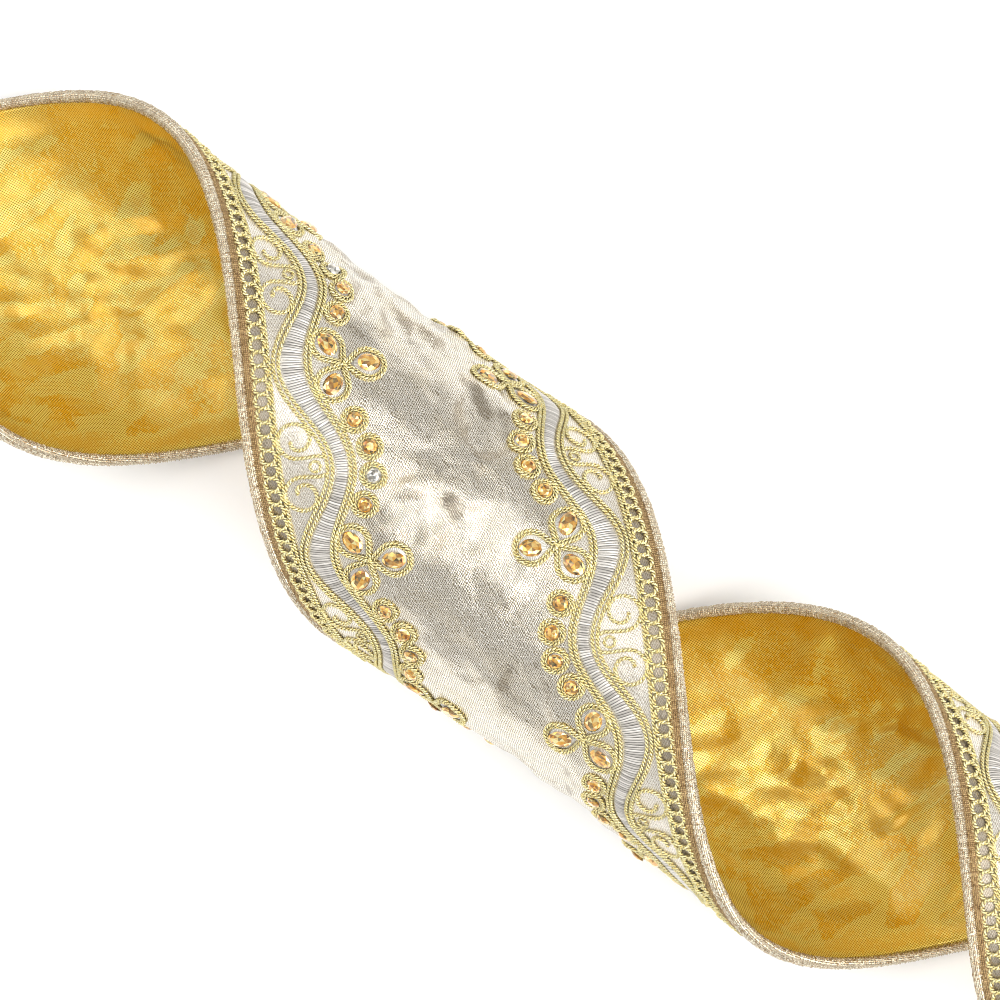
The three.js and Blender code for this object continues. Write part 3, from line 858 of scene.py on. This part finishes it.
def stones(edge, side):
    rng = np.random.default_rng(51 + side)
    found = {"amber": ([], [], []), "clear": ([], [], [])}
    for axis in repeat_axes():
        for (along, across), tilt, length, width in settings(axis, ROUND_STONE, PETAL_STONE):
            local, facets = brilliant(length, width)
            spin = tilt + rng.uniform(-0.15, 0.15)
            rock = rng.uniform(-0.16, 0.16, 2)
            local[:, 2] += rock[0] * local[:, 0] + rock[1] * local[:, 1] + 0.12
            c, s = math.cos(spin), math.sin(spin)
            local[:, :2] = local[:, :2] @ np.array([[c, s], [-s, c]])
            local[:, 1] *= side
            base = on_silver(np.array(along), np.array(side * across), 0.0)
            world = base + MM * local @ frame_at(along, side * across)
            points, faces, tones = found["clear" if rng.random() < CLEAR_SHARE else "amber"]
            first = sum(len(p) for p in points)
            points.append(world)
            faces.append(first + (facets if side > 0 else facets[:, ::-1]))
            # each facet's painted light, a random tone on the stone's ramp
            tones.append(np.clip(rng.normal(0.5, 0.3, len(facets)), 0, 1))
    for kind, material in (("amber", AMBER), ("clear", CLEAR)):
        points, faces, tones = (np.concatenate(parts) for parts in found[kind])
        name = f"{kind}_stones_{edge}"
        piece = add_piece(name, points, faces, material, smooth=False)
        tone = piece.data.attributes.new("facet", "FLOAT", "FACE")
        tone.data.foreach_set("value", tones.astype(np.float32))


def stone_grounds(edge, side):
    """Radial stitches between each stone and its ring of cord."""
    angle = np.linspace(0, 2 * np.pi, SPOKES * 2, endpoint=False)
    ridge = 0.16 + 0.1 * (np.arange(SPOKES * 2) % 2)
    shares = SPOKE_SHARES[:, None]
    points, faces, uvs, first = [], [], [], 0
    rng = np.random.default_rng(61 + side)
    for axis in repeat_axes():
        for (along, across), tilt, length, width in settings(axis, ROUND_GROUND, PETAL_GROUND):
            a = length * np.cos(angle)[None] * shares
            b = width * np.sin(angle)[None] * shares
            u = along + a * math.cos(tilt) - b * math.sin(tilt)
            v = across + a * math.sin(tilt) + b * math.cos(tilt)
            lift = (ridge + rng.uniform(0, 0.05, angle.shape))[None] * SPOKE_LIFTS[:, None]
            points.append(on_silver(u, side * v, lift).reshape(-1, 3))
            ring = grid_faces(len(shares), len(angle), wrap_columns=True)
            faces.append(first + (ring if side < 0 else ring[:, ::-1]))
            uv = np.stack(np.broadcast_arrays(np.arange(len(angle))[None] / 2, 3 * shares), -1)
            uvs.append(uv.reshape(-1, 2))
            first += u.size
    points, faces, uvs = (np.concatenate(parts) for parts in (points, faces, uvs))
    add_piece(f"stone_grounds_{edge}", points, faces, PALE_SATIN, uv=uvs)


# ---- Stage -----------------------------------------------------------------------------------
CAMERA_TURN = math.radians(35.87)  # the curl's axis runs down to the right in the picture
CAMERA_HEIGHT = 1362  # above the curl's axis
VIEW_WIDTH = 251.2  # seen at the height of the axis
CAMERA_OVER = (59.44, 11.91)  # along and beside the axis
HORIZON = 0.95  # the studio walls' brightness
ZENITH = 0.64  # the ceiling's
FLOOR_GLOW = 0.12  # the floor is a pale light table


def camera():
    data = bpy.data.cameras.new("camera")
    data.sensor_width = 36
    data.lens = data.sensor_width * CAMERA_HEIGHT / VIEW_WIDTH
    data.clip_start, data.clip_end = 0.01, 20
    eye = bpy.data.objects.new("camera", data)
    eye.location = Vector(ORIGIN) + MM * Vector((*CAMERA_OVER, CAMERA_HEIGHT))
    eye.rotation_euler = (0, 0, CAMERA_TURN)
    bpy.context.collection.objects.link(eye)
    bpy.context.scene.camera = eye
    return eye


def softbox(name, right, up, height, size, power):
    """An area light placed by the picture's own right and up, aimed at the ribbon's middle."""
    data = bpy.data.lights.new(name, "AREA")
    data.shape = "RECTANGLE"
    data.size, data.size_y = size
    data.energy = power
    lamp = bpy.data.objects.new(name, data)
    c, s = math.cos(CAMERA_TURN), math.sin(CAMERA_TURN)
    lamp.location = (c * right - s * up, s * right + c * up, height)
    aim = Vector((0, 0, 0.03)) - lamp.location
    lamp.rotation_euler = aim.to_track_quat("-Z", "Y").to_euler()
    bpy.context.collection.objects.link(lamp)


def light_table():
    """The floor: a pale sheet that glows a little."""
    floor = bpy.data.meshes.new("floor")
    corners = [(x, y, 0) for x, y in ((-3, -3), (3, -3), (3, 3), (-3, 3))]
    floor.from_pydata(corners, [], [(0, 1, 2, 3)])
    n = Nodes("paper_floor")
    where = n.add("ShaderNodeTexCoord").outputs["Object"]
    grain = n.noise(where, 60, 3)
    color = n.mix(grain, rgb(0.97, 0.97, 0.97), rgb(0.95, 0.95, 0.95))
    n.shader.inputs["Emission Color"].default_value = rgb(1, 1, 1)
    floor.materials.append(n.finish(color, 0.9, emission_strength=FLOOR_GLOW))
    board = bpy.data.objects.new("floor", floor)
    board.location.z = -0.0002
    bpy.context.collection.objects.link(board)


def studio_lights():
    """A wide box on each side and three narrow ones overhead, for streaks in the cloth."""
    softbox("key", -1.0, 0.7, 1.2, (1.4, 1.8), 14)
    softbox("fill", 1.0, -0.6, 1.2, (1.2, 1.6), 25)
    for number, right in enumerate((-0.3, 0.15, 0.6)):
        softbox(f"strip_{number + 1}", right, 0.25, 1.8, (0.2, 1.5), 1.4)


def studio_walls():
    """A white surround, brightest at the horizon."""
    studio = bpy.data.worlds.new("studio")
    studio.use_nodes = True
    tree = studio.node_tree
    where = tree.nodes.new("ShaderNodeTexCoord")
    split = tree.nodes.new("ShaderNodeSeparateXYZ")
    ramp = tree.nodes.new("ShaderNodeMapRange")
    tree.links.new(where.outputs["Generated"], split.inputs[0])
    tree.links.new(split.outputs[2], ramp.inputs[0])
    for socket, value in zip(ramp.inputs[1:], (0, 0.3, HORIZON, ZENITH)):
        socket.default_value = value
    tree.links.new(ramp.outputs[0], tree.nodes["Background"].inputs[1])
    tree.nodes["Background"].inputs[0].default_value = rgb(1, 1, 1)
    bpy.context.scene.world = studio


def develop():
    """Plain tones, and the sharpest pixels, for the weave."""
    bpy.context.scene.view_settings.view_transform = "Standard"
    bpy.context.scene.cycles.filter_width = 1.0


# ---- Assembly --------------------------------------------------------------------------------
camera()
light_table()
studio_lights()
studio_walls()
develop()
cloth("front_cloth", 0.08, SILVER_FACE, SILVER, "front_fabric")
cloth("backing_cloth", GOLD_FACE, -0.08, GOLD, "backing_fabric", backing_slack)
WIRE = wire_material()
for edge, side in SIDES.items():
    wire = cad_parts[f"edge_wire_{edge}"]
    wire.data.materials.clear()
    wire.data.materials.append(WIRE)
    binding(edge, side)
    chain(edge, side)
    wave_cords(edge, side)
    satin_band(edge, side)
    scrolls(edge, side)
    jewel_rings(edge, side)
    stone_grounds(edge, side)
    stones(edge, side)
